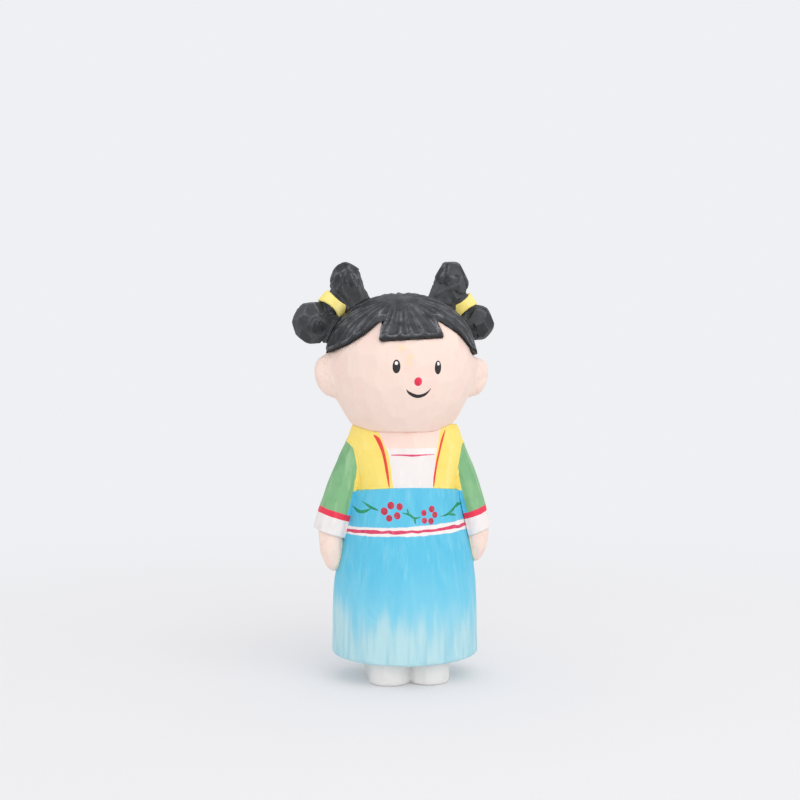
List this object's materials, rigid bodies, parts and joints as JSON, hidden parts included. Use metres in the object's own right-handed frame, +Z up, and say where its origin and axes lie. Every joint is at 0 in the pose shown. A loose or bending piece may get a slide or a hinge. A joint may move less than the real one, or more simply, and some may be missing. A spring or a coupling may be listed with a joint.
{
  "type": "carved wooden doll",
  "caption": "Small hand-carved, painted wooden girl doll that stands on its shoes, with a long skirt, a sash and tied hair buns.",
  "frame": {"origin": "on the flat sole of the feet, under the doll's upright axis", "axes": "+Z up through the head, -Y the way the doll faces, +X to the right as seen by someone facing it"},
  "size_m": [0.06, 0.0441, 0.1208],
  "materials": {
    "shoe_paint": "matt acrylic paint on carved basswood, off-white",
    "skirt_paint": "matt acrylic paint on carved basswood, sky blue fading to pale blue at the hem",
    "robe_paint": "matt acrylic paint on carved basswood, yellow, white and skin colour",
    "sleeve_paint": "matt acrylic paint on carved basswood, green with a red trim and a white cuff",
    "skin_paint": "matt acrylic paint on knife-faceted basswood, pale skin colour",
    "hair_paint": "matt acrylic paint on gouged basswood, charcoal, rubbed pale on its ridges",
    "tie_paint": "matt acrylic paint on carved basswood, yellow",
    "bare_wood": "plain turned hardwood dowel, glued"
  },
  "bodies": {
    "root": {"feet": "shoe_paint", "skirt": "skirt_paint", "torso": "robe_paint", "sleeve_left": "sleeve_paint", "sleeve_right": "sleeve_paint", "hand_left": "skin_paint", "hand_right": "skin_paint", "head": "skin_paint", "hair_cap": "hair_paint", "upper_bun_left": "hair_paint", "upper_bun_right": "hair_paint", "lower_bun_left": "hair_paint", "lower_bun_right": "hair_paint", "hair_tie_left": "tie_paint", "hair_tie_right": "tie_paint", "waist_dowel": "bare_wood", "neck_dowel": "bare_wood", "foot_dowels": "bare_wood", "arm_dowels": "bare_wood", "bun_dowels": "bare_wood"}
  },
  "joints": []
}
